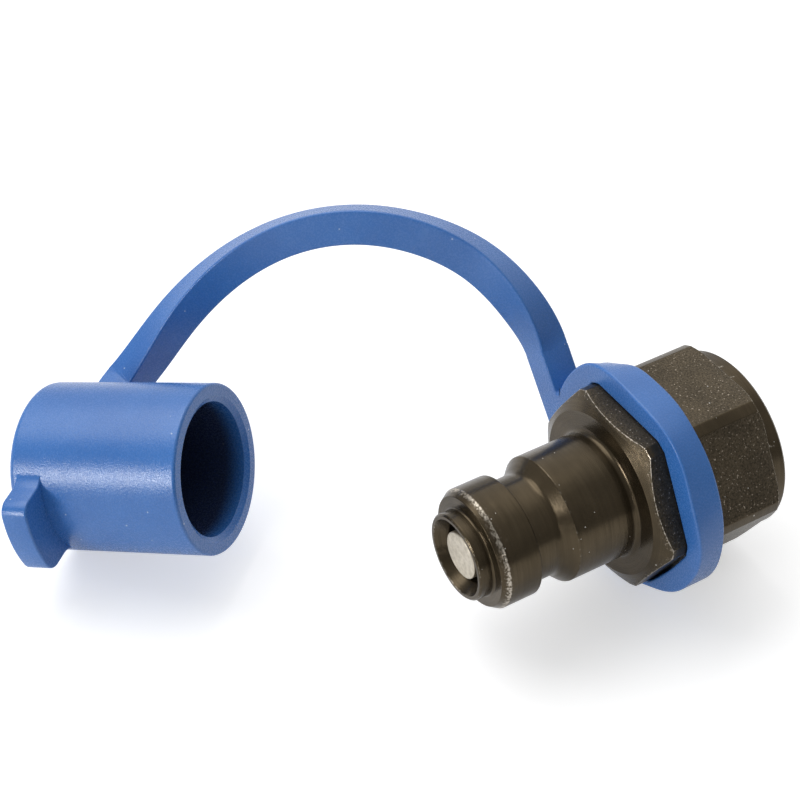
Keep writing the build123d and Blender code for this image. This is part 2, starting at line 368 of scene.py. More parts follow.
def rear_profile():
    """Half section of the plug from the rear collar's root through the waterway to the nose."""
    return rounded(
        [
            (hex_back, rear_collar_radius),
            (plug_length - 0.4, rear_collar_radius, 0.2),
            (plug_length, rear_collar_radius - 0.4, 0.15),
            (plug_length, port_radius + port_mouth_chamfer, 0.12),
            (port_start, port_radius, 0),
            (port_end, port_radius, 0.05),
            (port_end - 1.27, guide_bore_radius, 0.1),
            (snap_groove[1], guide_bore_radius, 0.05),
            (snap_groove[1], snap_groove[2], 0.03),
            (snap_groove[0], snap_groove[2], 0.03),
            (snap_groove[0], guide_bore_radius, 0.05),
            (guide_shoulder, guide_bore_radius, 0.05),
            (guide_shoulder, chamber_radius, 0.05),
            (chamber_start, chamber_radius, 0.1),
            (throat_end, throat_radius, 0.1),
            (mouth_depth, throat_radius, 0.4),
            (0.12, mouth_radius - 0.07, 0.1),
            (0, mouth_radius),
        ]
    )


def hexagon_rows(angles):
    """Rows over the hexagon, each column with its own side: the front cone is met where the cone's
    radius is the side's, and the rear cone likewise, so both curved edges run along a row."""
    side = smooth_min(hexagon(angles), np.full(angles.shape, hex_corner_radius), 0.03)
    front = hex_front + (side - hex_face_radius) * hex_chamfer
    over = np.maximum(side - hex_shoulder_radius, 0)
    back = hex_back - over * hex_chamfer
    turned = smooth_step(over / 0.12)
    lead = np.array([[-0.075, -0.13], [-0.036, -0.056], [-0.003, -0.015], [0.05, -0.002], [0.12, 0.0]])
    rows = [(front + dx, side + dr) for dx, dr in lead]
    middles = np.linspace(0, 1, 6)[1:-1]
    rows += [(front + (back - front) * m, side) for m in middles]
    rows += [(back - 0.14, side), (back - 0.07 - 0.04 * (1 - turned), side - 0.004)]
    rows += [(back - 0.01, side - 0.02 - 0.03 * (1 - turned))]
    low = np.minimum(side, hex_shoulder_radius)
    rows += [(np.full(angles.shape, hex_back) - 0.02 * turned, low - 0.03 - 0.09 * (1 - turned))]
    rows += [(np.full(angles.shape, hex_back), low - 0.16)]
    return np.stack([row[0] for row in rows]), np.stack([row[1] for row in rows])


def body_step(middle):
    """Largest run of the rear profile: fine along the thread."""
    x, r = middle
    if r < port_radius + 1.4 and x > port_end:
        return thread_pitch / 14
    return 3.0


def store(piece, name, values):
    """Number kept at each point of the mesh, for its material to read."""
    kept = piece.data.attributes.new(name, "FLOAT", "POINT")
    kept.data.foreach_set("value", np.asarray(values, np.float32).ravel())


def worn_edges(x, r, angles, on_hexagon):
    """How close each point is to an edge that handling wears bright: a bell of its distance from
    the nose's rim, the collar's chamfer, the guide cylinder's ends and the hexagon's edges."""
    edges = [
        (0.1, nose_radius - 0.1, 0.12, 0.8),
        (0.05, mouth_radius - 0.03, 0.12, 0.7),
        (collar_front + 0.8 * collar_chamfer, collar_radius - 0.15, 0.4, 1.0),
        (collar_front + 0.05, collar_radius - collar_chamfer_rise, 0.15, 0.45),
        (collar_back - 0.1, collar_radius - 0.1, 0.15, 0.6),
        (guide_front, guide_radius, 0.2, 0.55),
        (guide_back, guide_radius, 0.15, 0.6),
        (plug_length - 0.2, rear_collar_radius - 0.2, 0.3, 0.6),
    ]
    worn = np.zeros(x.shape)
    for place, radius, width, most in edges:
        away = np.hypot(x - place, r - radius)
        worn = np.maximum(worn, most * np.exp(-((away / width) ** 2)))
    side = np.minimum(hexagon(angles), hex_corner_radius)[None, :]
    front = np.abs(x - hex_front - (side - hex_face_radius) * hex_chamfer)
    back = np.abs(hex_back - np.maximum(side - hex_shoulder_radius, 0) * hex_chamfer - x)
    along = np.minimum(front, back)
    corner = math.degrees(math.acos(hex_half / hex_corner_radius))
    from_normal = np.abs((np.degrees(angles) + hex_side_turn) % hex_side_turn - hex_side_turn / 2)
    across = np.abs(from_normal - corner)[None, :] * math.radians(1) * hex_corner_radius
    bell = 0.85 * np.exp(-((along / 0.09) ** 2)) + 0.4 * np.exp(-((across / 0.07) ** 2))
    return np.where(on_hexagon[:, None], np.maximum(worn, np.clip(bell, 0, 1)), worn)


def make_plug_body():
    """Turned bar: the lathe's profile all round, and between its two ends the hexagon's rows.

    In the port a groove runs as a helix: its depth is a wave of (station / pitch - angle / turn).
    """
    angles = body_angles()
    front = front_profile()
    rear = refined(rear_profile(), body_step)[:-1]
    hex_x, hex_r = hexagon_rows(angles)
    spread = np.ones(len(angles))
    x = np.vstack([front[:, :1] * spread, hex_x, rear[:, :1] * spread])
    r = np.vstack([front[:, 1:2] * spread, hex_r, rear[:, 1:2] * spread])
    wave = (x / thread_pitch - angles[None, :] / TAU) % 1.0
    ridge = np.abs(2 * wave - 1)
    groove = thread_depth * smooth_step((ridge - 0.08) / 0.84)
    fade = smooth_step((x - port_end - 0.4) / thread_runout)
    in_port = (x > port_end + 0.3) & (r < port_radius + 1.35) & (x < plug_length - 0.02)
    r = np.where(in_port, np.maximum(r, port_radius + groove * fade), r)
    points = np.stack([x, r * np.cos(angles), r * np.sin(angles)], -1)
    piece = grid_mesh("plug_body_turned", points, "plug", close_rows=True)
    first, last = len(front), len(front) + len(hex_x)
    on_hexagon = (np.arange(len(x)) >= first) & (np.arange(len(x)) < last)
    milled = on_hexagon[:, None] & (hexagon(angles) < hex_corner_radius - 0.01)[None, :]
    store(piece, "milled", milled)
    store(piece, "worn", worn_edges(x, r, angles, on_hexagon))
    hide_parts("plug_body")
    return shade(clean(piece), 24)


def make_poppet():
    """Turned poppet with a softly rounded face edge."""
    profile = rounded(
        [
            (poppet_recess, 0),
            (poppet_recess, poppet_tip_radius, 0.18),
            (head_front, poppet_tip_radius, 0.05),
            (head_front, head_radius, 0.2),
            (head_back, head_radius, 0.2),
            (head_back, stem_radius, 0.1),
            (stem_end, stem_radius, 0.2),
            (stem_end, 0),
        ]
    )
    piece = turned_piece("poppet_turned", profile, "valve")
    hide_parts("poppet")
    return shade(clean(piece))


def make_poppet_seal():
    """O-ring: a circle of the section's radius turned about the plug's axis."""
    turn = np.linspace(0, TAU, 28, endpoint=False)
    profile = np.stack(
        [seal_station + seal_section * np.cos(turn), seal_ring_radius + seal_section * np.sin(turn)], 1
    )
    piece = turned_piece("poppet_seal_ring", profile, "valve", close_rows=True)
    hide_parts("poppet_seal")
    return shade(clean(piece))


def make_valve_spring():
    """Wire swept along a helix of even pitch, domed at both ends."""
    t = np.linspace(0, 1, 420)
    turn = TAU * spring_turns * t
    x = spring_front + (spring_back - spring_front) * t
    centre = np.stack([x, spring_radius * np.cos(turn), spring_radius * np.sin(turn)], -1)
    along = unit(np.gradient(centre, axis=0))
    out = np.stack([np.zeros_like(t), np.cos(turn), np.sin(turn)], -1)
    side = np.cross(along, out)
    around = np.linspace(0, TAU, 16, endpoint=False)[None, :, None]
    dome = np.sqrt(np.clip(1 - np.clip(np.abs(t - 0.5) - 0.496, 0, None) ** 2 / 0.004**2, 0, 1))
    radius = (spring_wire * dome)[:, None, None]
    points = centre[:, None] + radius * (np.cos(around) * out[:, None] + np.sin(around) * side[:, None])
    piece = grid_mesh("valve_spring_wire", points, "plug")
    clean(piece)
    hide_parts("valve_spring")
    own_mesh(piece)
    return shade(piece)


def carry_cad_nodes():
    """The valve guide and the snap ring keep their solids, with crisp edges and smooth rounds."""
    for node in ("valve_guide", "snap_ring"):
        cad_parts[node].data.set_sharp_from_angle(angle=math.radians(30))


def plate(name, outline, low, high, edge, place):
    """Flat piece from a closed outline (n, 2): its rim rolls over by quarter circles of the edge
    radius, inset along the outline's normals, and both faces close on the outline's middle."""
    ahead = unit(np.roll(outline, -1, 0) - np.roll(outline, 1, 0))
    inward = np.stack([-ahead[:, 1], ahead[:, 0]], 1)
    middle = outline.mean(0)
    roll = np.linspace(0, math.pi / 2, 5)
    inset = edge * (1 - np.sin(roll))
    height = edge * (1 - np.cos(roll))
    rows = [np.column_stack([np.broadcast_to(middle, outline.shape), np.full(len(outline), low)])]
    levels = [(edge + 0.1, low)] + list(zip(inset, low + height))
    levels += list(zip(inset[::-1], high - height[::-1])) + [(edge + 0.1, high)]
    for offset, level in levels:
        rows.append(np.column_stack([outline + inward * offset, np.full(len(outline), level)]))
    rows.append(np.column_stack([np.broadcast_to(middle, outline.shape), np.full(len(outline), high)]))
    return clean(grid_mesh(name, place(np.stack(rows)), "plug"))


def arc(centre, radius, start, end, count):
    """Points of a circular arc between two angles in radians."""
    angle = np.linspace(start, end, count)
    return np.stack([centre[0] + radius * np.cos(angle), centre[1] + radius * np.sin(angle)], 1)


def cap_cup():
    """Cap: a closed wall (radius, depth) turned about the cap's own axis."""
    profile = rounded(
        [
            (0, cap_depth),
            (cap_bore, cap_depth, 0.8),
            (cap_bore, cap_lead_in, 0.15),
            (cap_mouth_radius, 0, 0.12),
            (cap_radius, 0, 0.4),
            (cap_radius, cap_length, 1.1),
            (0, cap_length),
        ],
        steps=6,
    )
    profile = refined(profile, lambda middle: 1.2)
    angles = np.linspace(0, TAU, 200, endpoint=False)
    r, z = profile[:, :1], profile[:, 1:2]
    points = np.stack([r * np.cos(angles), r * np.sin(angles), np.broadcast_to(z, (len(r), 200))], -1)
    return clean(grid_mesh("dust_cap_moulding", cap_to_station(points), "plug"))


def tab_outline():
    """Pull tab seen along the cap's axis: flares off the cap, straight sides, tip on an arc."""
    half = tab_width / 2
    hub = cap_radius - 0.02
    flare = math.asin((half + tab_root) / (hub + tab_root))
    flare_centre = ((hub + tab_root) * math.cos(flare), half + tab_root)
    corner = (math.sqrt((tab_reach - tab_corner) ** 2 - (half - tab_corner) ** 2), half - tab_corner)
    corner_end = math.atan2(corner[1], corner[0])
    upper = np.vstack(
        [
            arc(corner, tab_corner, corner_end, math.pi / 2, 12),
            arc(flare_centre, tab_root, 1.5 * math.pi, math.pi + flare, 12),
        ]
    )
    inner = arc((0, 0), cap_radius - 1.3, flare, -flare, 16)
    lower = upper[::-1] * np.array([1, -1])
    tip = arc((0, 0), tab_reach, -corner_end, corner_end, 16)[1:-1]
    return np.vstack([upper, inner, lower, tip])


def ring_outline(angles, walls):
    """Radius of the ring's outside: a closed cubic through the walls added to the hexagon, with
    the slopes that make its curvature run on round the whole ring."""
    count = len(walls)
    knots = TAU * np.arange(count) / count
    radius = np.minimum(hexagon(knots), hex_corner_radius) + walls
    turns = np.fft.fftfreq(count, 1 / count)
    wave = np.exp(TAU * 1j * turns / count)
    slope = np.fft.ifft(np.fft.fft(radius) * 3 * (wave - wave.conj()) / (4 + wave + wave.conj())).real
    place = (angles % TAU) / TAU * count
    low = np.floor(place).astype(int) % count
    t = place - np.floor(place)
    high = (low + 1) % count
    return (
        (2 * t**3 - 3 * t**2 + 1) * radius[low]
        + (t**3 - 2 * t**2 + t) * slope[low]
        + (3 * t**2 - 2 * t**3) * radius[high]
        + (t**3 - t**2) * slope[high]
    )


def ring_opening(angles):
    """Radius of the ring's opening: it stands off each flat by its gap and closes at the corners,
    where a circle cuts it to the hexagon's turned corners."""
    sector = np.floor((np.degrees(angles) % 360) / hex_side_turn).astype(int) % 6
    from_normal = np.radians(np.degrees(angles) % hex_side_turn - hex_side_turn / 2)
    sag = 1 - (np.tan(from_normal) / math.tan(math.pi / 6)) ** 2
    flat = hex_half + ring_clearance + (ring_side_gaps[sector] - ring_clearance) * sag
    circle = np.full(angles.shape, hex_corner_radius + ring_clearance)
    return smooth_min(flat / np.cos(from_normal), circle, 0.05)


def meets_ring(end, along):
    """Where a line back from the strap's end meets the ring's outline, and the ring's direction."""
    t = np.linspace(2, 14, 2400)[:, None]
    line = end - along * t
    outside = np.hypot(line[:, 0], line[:, 1]) - ring_outline(np.arctan2(line[:, 1], line[:, 0]), ring_walls)
    first = int(np.argmax(outside < 0)) if (outside < 0).any() else int(np.argmin(outside))
    angle = math.atan2(line[first, 1], line[first, 0])
    near = np.array([angle - 0.12, angle + 0.12])
    ends = ring_outline(near, ring_walls)[:, None] * np.stack([np.cos(near), np.sin(near)], 1)
    return line[first], unit(ends[1] - ends[0])


def ring_root_outline():
    """Root of the strap seen along the plug: both its sides flow into the ring by an arc."""
    along = np.array([math.cos(ring_root_angle), math.sin(ring_root_angle)])
    across = np.array([-along[1], along[0]])
    upper_end = ring_root_end[1:] + across * strap_width / 2
    lower_end = ring_root_end[1:] - across * strap_width / 2
    upper, upper_way = meets_ring(upper_end, along)
    lower, lower_way = meets_ring(lower_end, along)
    corners = [
        (*(upper + upper_way * 2.6 - unit(upper) * 0.25), 0.0),
        (*(upper + upper_way * 0.4 - unit(upper) * 1.0), 0.0),
        (15.6, 0.0, 0.0),
        (*(lower - lower_way * 0.4 - unit(lower) * 1.0), 0.0),
        (*(lower - lower_way * 2.6 - unit(lower) * 0.25), 0.0),
        (*lower, ring_root_fillet * 2),
        (*lower_end, 0.0),
        (*upper_end, 0.0),
        (*upper, ring_root_fillet),
    ]
    return rounded(corners, closed=True, steps=10)


def ring_band():
    """Ring: a rounded section carried round between its opening and its outside, which is drawn
    in towards the rear at the corners."""
    angles = np.linspace(0, TAU, 540, endpoint=False)
    inner = ring_opening(angles)
    front = ring_outline(angles, ring_walls) - 0.004
    rear = ring_outline(angles, ring_rear_walls) - 0.004
    section = rounded([(0, 0, 0.3), (1, 0, 0.3), (1, 1, 0.3), (0, 1, 0.3)], True, 5, 0.1)
    edge = 0.32
    corner = np.round(section)
    x = ring_front + corner[:, :1] * ring_width + (section - corner)[:, :1] / 0.3 * edge
    outer = front + (rear - front) * corner[:, :1]
    reach = (section - corner)[:, 1:2] / 0.3 * np.minimum(edge, 0.3 * (outer - inner))
    radius = inner * (1 - corner[:, 1:2]) + outer * corner[:, 1:2] + reach
    x = np.broadcast_to(x, radius.shape)
    points = np.stack([x, radius * np.cos(angles), radius * np.sin(angles)], -1)
    return clean(grid_mesh("strap_ring", points, "plug", close_rows=True))


def clamped_spline(points, first, last, count):
    """Cubic spline through points with given end directions: its knots stand a chord apart, and
    the slopes at the knots make the curvature run on through each of them."""
    h = np.linalg.norm(np.diff(points, axis=0), axis=1)
    n = len(points)
    system = np.zeros((n, n))
    target = np.zeros((n, 3))
    system[0, 0] = system[-1, -1] = 1
    target[0], target[-1] = first, last
    for i in range(1, n - 1):
        system[i, i - 1 : i + 2] = 1 / h[i - 1], 2 / h[i - 1] + 2 / h[i], 1 / h[i]
        target[i] = 3 * (
            (points[i] - points[i - 1]) / h[i - 1] ** 2 + (points[i + 1] - points[i]) / h[i] ** 2
        )
    slope = np.linalg.solve(system, target)
    knots = np.concatenate([[0], np.cumsum(h)])
    where = np.linspace(0, knots[-1], count)
    span = np.clip(np.searchsorted(knots, where, side="right") - 1, 0, n - 2)
    t = ((where - knots[span]) / h[span])[:, None]
    width = h[span][:, None]
    return (
        (2 * t**3 - 3 * t**2 + 1) * points[span]
        + (t**3 - 2 * t**2 + t) * width * slope[span]
        + (3 * t**2 - 2 * t**3) * points[span + 1]
        + (t**3 - t**2) * width * slope[span + 1]
    )


def strap_line():
    """Middle line of the strap: spline from the ring, tangent bend, and the stub into the cap."""
    stub_end = cap_to_station(
        np.array([-cap_radius - strap_stub, 0, cap_length - flat_thickness / 2])
    )
    half_turn = math.acos(float(strap_end_direction @ tab_direction)) / 2
    reach = strap_bend * math.tan(half_turn)
    corner = stub_end - tab_direction * reach
    bend_start = corner - strap_end_direction * reach
    inwards = unit(tab_direction - strap_end_direction)
    centre = corner + inwards * strap_bend / math.cos(half_turn)
    start_direction = np.array([0, math.cos(ring_root_angle), math.sin(ring_root_angle)])
    knots = np.vstack([ring_root_end, strap_route, bend_start])
    curve = clamped_spline(knots, start_direction, strap_end_direction, 1500)
    turn = np.linspace(-half_turn, half_turn, 60)[1:, None]
    forward = unit(strap_end_direction + tab_direction)
    bend = centre + strap_bend * (-inwards * np.cos(turn) + forward * np.sin(turn))
    return np.vstack([curve, bend]), stub_end, start_direction


def strap_band():
    """Strap: a rounded rectangle swept along the middle line, its face turning from the ring's
    front to the cap's, and widening as a quarter circle where it meets the cap."""
    line, stub_end, start_direction = strap_line()
    length = np.concatenate([[0], np.cumsum(np.linalg.norm(np.diff(line, axis=0), axis=1))])
    total = length[-1]
    where = np.concatenate(
        [np.linspace(0, total - 8, 170, endpoint=False), np.linspace(total - 8, total, 50)]
    )
    centre = np.stack([np.interp(where, length, line[:, k]) for k in range(3)], 1)
    along = unit(np.gradient(centre, where, axis=0))
    along[0], along[-1] = start_direction, tab_direction
    inside_cap = cap_radius + strap_stub - strap_ends_at
    runs = np.linspace(0, inside_cap, 26)[1:, None]
    centre = np.vstack([centre[:1] - start_direction * 0.6, centre, stub_end + tab_direction * runs])
    along = np.vstack([start_direction, along, np.broadcast_to(tab_direction, (25, 3))])
    u = np.concatenate([[0], where / total, np.ones(25)])[:, None]
    facing = np.array([-1.0, 0, 0]) * (1 - u) ** 2 + strap_facing * 2 * u * (1 - u) - cap_axis * u**2
    facing = unit(facing - along * (facing * along).sum(1, keepdims=True))
    across = np.cross(along, facing)
    from_axis = np.concatenate([np.full(len(where) + 1, 99.0), cap_radius + strap_stub - runs[:, 0]])
    root_centre = math.sqrt(
        (cap_radius + strap_stub_root) ** 2 - (strap_width / 2 + strap_stub_root) ** 2
    )
    into = np.clip(root_centre - from_axis, 0, 0.96 * strap_stub_root)
    flare = strap_stub_root - np.sqrt(strap_stub_root**2 - into**2)
    thickness = ring_width + (flat_thickness - ring_width) * u[:, 0]
    half_a = (thickness / 2 - strap_inset_thick)[:, None]
    half_b = (strap_width / 2 - strap_inset_wide + flare)[:, None]
    section = rounded([(1, 1, 0.3), (-1, 1, 0.3), (-1, -1, 0.3), (1, -1, 0.3)], True, 5, 0.15)
    inset = section - np.sign(section)
    a = np.sign(section[:, 0]) * half_a + inset[:, 0]
    b = np.sign(section[:, 1]) * half_b + inset[:, 1]
    points = centre[:, None] + a[..., None] * facing[:, None] + b[..., None] * across[:, None]
    first = points[:1].mean(1, keepdims=True) * np.ones_like(points[:1])
    last = points[-1:].mean(1, keepdims=True) * np.ones_like(points[:1])
    return clean(grid_mesh("strap_band", np.vstack([first, points, last]), "plug"))


def make_dust_cap():
    """One moulding: cap, tab, strap and ring joined into a single closed surface."""
    cup = cap_cup()
    tab = plate("cap_tab", tab_outline(), tab_front, tab_back, moulded_edge, cap_to_station)
    root = plate(
        "ring_root",
        ring_root_outline(),
        ring_front + 0.003,
        ring_front + ring_width - 0.003,
        moulded_edge,
        lambda p: p[..., [2, 0, 1]],
    )
    for extra in (tab, ring_band(), root, strap_band()):
        union = cup.modifiers.new("join_" + extra.name, "BOOLEAN")
        union.operation = "UNION"
        union.solver = "MANIFOLD"
        union.object = extra
        bpy.context.view_layer.objects.active = cup
        bpy.ops.object.modifier_apply(modifier=union.name)
        bpy.data.objects.remove(extra)
    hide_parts("dust_cap")
    return shade(cup, 38)


def node(tree, kind, inputs=None, **settings):
    """Shader node with its settings and input values; an input given as a socket is linked."""
    made = tree.nodes.new(kind)
    for key, value in settings.items():
        setattr(made, key, value)
    for key, value in (inputs or {}).items():
        if isinstance(value, bpy.types.NodeSocket):
            tree.links.new(value, made.inputs[key])
        else:
            made.inputs[key].default_value = value
    return made


def material(name, metallic=0.0, roughness=0.5, **constants):
    """Material with one Principled shader, and Object coordinates to start patterns from."""
    made = bpy.data.materials.new(name)
    made.use_nodes = True
    tree = made.node_tree
    tree.nodes.clear()
    shader = node(tree, "ShaderNodeBsdfPrincipled", {"Metallic": metallic, "Roughness": roughness})
    for key, value in constants.items():
        shader.inputs[key.replace("_", " ")].default_value = value
    output = node(tree, "ShaderNodeOutputMaterial")
    tree.links.new(shader.outputs[0], output.inputs[0])
    coordinates = node(tree, "ShaderNodeTexCoord").outputs["Object"]
    return made, tree, shader, coordinates


def give(piece, made):
    """The piece wears this material alone."""
    piece.data.materials.clear()
    piece.data.materials.append(made)


def maths(tree, operation, a, b=0.0):
    """One step of arithmetic on values or sockets."""
    return node(tree, "ShaderNodeMath", {0: a, 1: b}, operation=operation).outputs[0]


def between(tree, value, low, high, to_low=0.0, to_high=1.0):
    """Value taken smoothly from one range to another, and held at both ends."""
    inputs = {"Value": value, "From Min": low, "From Max": high, "To Min": to_low, "To Max": to_high}
    made = node(tree, "ShaderNodeMapRange", inputs, interpolation_type="SMOOTHSTEP")
    return made.outputs["Result"]


def blend_colour(tree, share, a, b, kind="MIX"):
    """Colour a turning to colour b by a share."""
    made = node(tree, "ShaderNodeMix", {0: share, 6: a, 7: b}, data_type="RGBA", blend_type=kind)
    return made.outputs[2]


def noise(tree, position, scale, detail=2.0, roughness=0.5):
    """Noise value about 0.5 at a position."""
    inputs = {"Vector": position, "Scale": scale, "Detail": detail, "Roughness": roughness}
    return node(tree, "ShaderNodeTexNoise", inputs).outputs[0]


def shared(name, inputs, outputs):
    """Shader node group with named inputs (kind, starting value) and outputs (kind)."""
    kinds = {"value": "NodeSocketFloat", "vector": "NodeSocketVector", "colour": "NodeSocketColor"}
    tree = bpy.data.node_groups.new(name, "ShaderNodeTree")
    for key, (kind, value) in inputs.items():
        socket = tree.interface.new_socket(key, in_out="INPUT", socket_type=kinds[kind])
        if value is not None:
            socket.default_value = value
    for key, kind in outputs.items():
        tree.interface.new_socket(key, in_out="OUTPUT", socket_type=kinds[kind])
    return tree, tree.nodes.new("NodeGroupInput").outputs, tree.nodes.new("NodeGroupOutput").inputs


def place_group(tree, group, **inputs):
    """A shared group set into a material with its own values."""
    return node(tree, "ShaderNodeGroup", inputs, node_tree=group).outputs


def turning_marks_group():
    """Marks of the tool on turned metal: noise that changes fast along the axis and across the
    radius, and slowly around, as noise of (x, r, cos, sin); fine marks, and broad bands of them."""
    inputs = {"Position": ("vector", None), "Marks": ("value", 3000.0), "Around": ("value", 1.0)}
    tree, given, out = shared("turning_marks", inputs, {"Fine": "value", "Broad": "value"})
    xyz = node(tree, "ShaderNodeSeparateXYZ", {0: given["Position"]}).outputs
    y_squared = maths(tree, "MULTIPLY", xyz[1], xyz[1])
    z_squared = maths(tree, "MULTIPLY", xyz[2], xyz[2])
    squares = maths(tree, "ADD", y_squared, z_squared)
    radius = maths(tree, "MAXIMUM", maths(tree, "SQRT", squares), 1e-5)
    turn = maths(tree, "MULTIPLY", maths(tree, "DIVIDE", xyz[1], radius), given["Around"])
    rise = maths(tree, "MULTIPLY", maths(tree, "DIVIDE", xyz[2], radius), given["Around"])
    for key, share, detail in (("Fine", 1.0, 3.0), ("Broad", 0.16, 1.0)):
        pitch = maths(tree, "MULTIPLY", given["Marks"], share)
        vector = node(
            tree,
            "ShaderNodeCombineXYZ",
            {0: maths(tree, "MULTIPLY", xyz[0], pitch), 1: maths(tree, "MULTIPLY", radius, pitch), 2: turn},
        ).outputs[0]
        made = node(
            tree,
            "ShaderNodeTexNoise",
            {"Vector": vector, "W": rise, "Scale": 1.0, "Detail": detail, "Roughness": 0.6},
            noise_dimensions="4D",
        )
        tree.links.new(made.outputs[0], out[key])
    return tree


def grain_group():
    """Fine grain of a rolled or blasted surface, and painted glints: a few pale specks standing in for
    facets that catch the light.
    """
    inputs = {"Position": ("vector", None), "Scale": ("value", 3000.0)}
    tree, given, out = shared("surface_grain", inputs, {"Grain": "value", "Glints": "value"})
    grain = noise(tree, given["Position"], given["Scale"], 3.0, 0.65)
    tree.links.new(between(tree, grain, 0.3, 0.7), out["Grain"])
    glints = noise(tree, given["Position"], maths(tree, "MULTIPLY", given["Scale"], 0.8), 1.0, 0.5)
    tree.links.new(between(tree, glints, 0.66, 0.74), out["Glints"])
    return tree


def specks_group():
    """Loose dust: a small dot in a chosen share of the cells of a Voronoi pattern."""
    inputs = {"Position": ("vector", None), "Scale": ("value", 700.0), "Share": ("value", 0.1)}
    tree, given, out = shared("dust_specks", inputs, {"Speck": "value"})
    cells = node(tree, "ShaderNodeTexVoronoi", {"Vector": given["Position"], "Scale": given["Scale"]})
    pick = node(tree, "ShaderNodeSeparateColor", {0: cells.outputs["Color"]}).outputs
    size = maths(tree, "MULTIPLY_ADD", pick[1], 0.07)
    size.node.inputs[2].default_value = 0.05
    inside = maths(tree, "LESS_THAN", cells.outputs["Distance"], size)
    chosen = maths(tree, "LESS_THAN", pick[0], given["Share"])
    tree.links.new(maths(tree, "MULTIPLY", inside, chosen), out["Speck"])
    return tree


def wear_group():
    """Bare metal on a worn edge: the stored closeness to the edge, broken up by noise."""
    inputs = {"Position": ("vector", None), "Closeness": ("value", 0.0), "Scale": ("value", 1800.0)}
    tree, given, out = shared("edge_wear", inputs, {"Bare": "value"})
    rough = noise(tree, given["Position"], given["Scale"], 3.0, 0.7)
    level = maths(tree, "ADD", given["Closeness"], maths(tree, "MULTIPLY", rough, 1.5))
    tree.links.new(between(tree, level, 1.3, 1.7), out["Bare"])
    return tree


def bump(tree, shader, height, distance):
    """Relief from a height map, linked to the shader's normal."""
    made = node(tree, "ShaderNodeBump", {"Strength": 1.0, "Distance": distance, "Height": height})
    tree.links.new(made.outputs[0], shader.inputs["Normal"])


def set_finish(tree, shader, colour, roughness):
    """Colour and roughness that vary over the surface, linked to the shader."""
    tree.links.new(colour, shader.inputs["Base Color"])
    tree.links.new(roughness, shader.inputs["Roughness"])


def attribute(tree, name):
    """Number that the mesh keeps at its points."""
    return node(tree, "ShaderNodeAttribute", attribute_name=name).outputs["Fac"]


def dark_steel_finish(marks, grain, specks, wear):
    """Black-oxide steel: brown-black, turned all over but for the rolled flats of the hexagon,
    bare and bright where its edges have been handled."""
    made, tree, shader, position = material("dark_steel", metallic=0.8)
    turned = place_group(tree, marks, Position=position, Marks=6400.0, Around=1.2)
    rolled = place_group(tree, grain, Position=position, Scale=3700.0)
    milled = between(tree, attribute(tree, "milled"), 0.5, 1.0)
    band = between(tree, turned["Broad"], 0.35, 0.65)
    fine = between(tree, turned["Fine"], 0.3, 0.7)
    streak = maths(tree, "ADD", maths(tree, "MULTIPLY", fine, 0.75), maths(tree, "MULTIPLY", band, 0.25))
    turned_colour = blend_colour(tree, streak, (0.062, 0.046, 0.026, 1), (0.088, 0.067, 0.04, 1))
    rolled_colour = blend_colour(tree, rolled["Grain"], (0.038, 0.029, 0.016, 1), (0.112, 0.087, 0.056, 1))
    # Painted glints: pale specks on the rolled flats stand in for facets catching the light
    rolled_colour = blend_colour(tree, rolled["Glints"], rolled_colour, (0.38, 0.32, 0.25, 1))
    colour = blend_colour(tree, milled, turned_colour, rolled_colour)
    blotch = between(tree, noise(tree, position, 160.0, 3.0, 0.6), 0.3, 0.7, 0.82, 1.12)
    tint = node(tree, "ShaderNodeCombineColor", {0: blotch, 1: blotch, 2: blotch}).outputs[0]
    colour = blend_colour(tree, 1.0, colour, tint, "MULTIPLY")
    bare = place_group(tree, wear, Position=position, Closeness=attribute(tree, "worn"), Scale=2600.0)
    colour = blend_colour(tree, bare["Bare"], colour, (0.5, 0.45, 0.38, 1))
    dust = place_group(tree, specks, Position=position, Scale=1000.0, Share=0.12)
    colour = blend_colour(tree, dust["Speck"], colour, (0.62, 0.6, 0.56, 1))
    smooth = between(tree, streak, 0.0, 1.0, 0.27, 0.2)
    coarse = between(tree, rolled["Grain"], 0.0, 1.0, 0.4, 0.28)
    roughness = node(tree, "ShaderNodeMix", {0: milled, 2: smooth, 3: coarse}).outputs[0]
    roughness = node(tree, "ShaderNodeMix", {0: dust["Speck"], 2: roughness, 3: 0.8}).outputs[0]
    set_finish(tree, shader, colour, roughness)
    height = node(tree, "ShaderNodeMix", {0: milled, 2: turned["Fine"], 3: rolled["Grain"]}).outputs[0]
    bump(tree, shader, height, 0.00002)
    return made


def bright_metal_finish(name, marks, grain, colour, shadow, roughness, metallic=0.9):
    """Plated or stainless turned part: pale, with faint tool marks and a little mottling."""
    made, tree, shader, position = material(name, metallic=metallic)
    turned = place_group(tree, marks, Position=position, Marks=4200.0, Around=1.0)
    mottle = place_group(tree, grain, Position=position, Scale=1300.0)
    share = maths(tree, "MULTIPLY", maths(tree, "ADD", turned["Fine"], mottle["Grain"]), 0.6)
    set_finish(
        tree,
        shader,
        blend_colour(tree, share, (*shadow, 1), (*colour, 1)),
        between(tree, mottle["Grain"], 0.0, 1.0, roughness + 0.08, roughness - 0.05),
    )
    bump(tree, shader, turned["Fine"], 0.000008)
    return made


def seal_rubber_finish(grain):
    """Black nitrile rubber, with a slight matt bloom."""
    made, tree, shader, position = material("seal_rubber")
    bloom = place_group(tree, grain, Position=position, Scale=2200.0)
    set_finish(
        tree,
        shader,
        blend_colour(tree, bloom["Grain"], (0.012, 0.012, 0.013, 1), (0.03, 0.03, 0.031, 1)),
        between(tree, bloom["Grain"], 0.0, 1.0, 0.42, 0.6),
    )
    bump(tree, shader, bloom["Grain"], 0.000006)
    return made


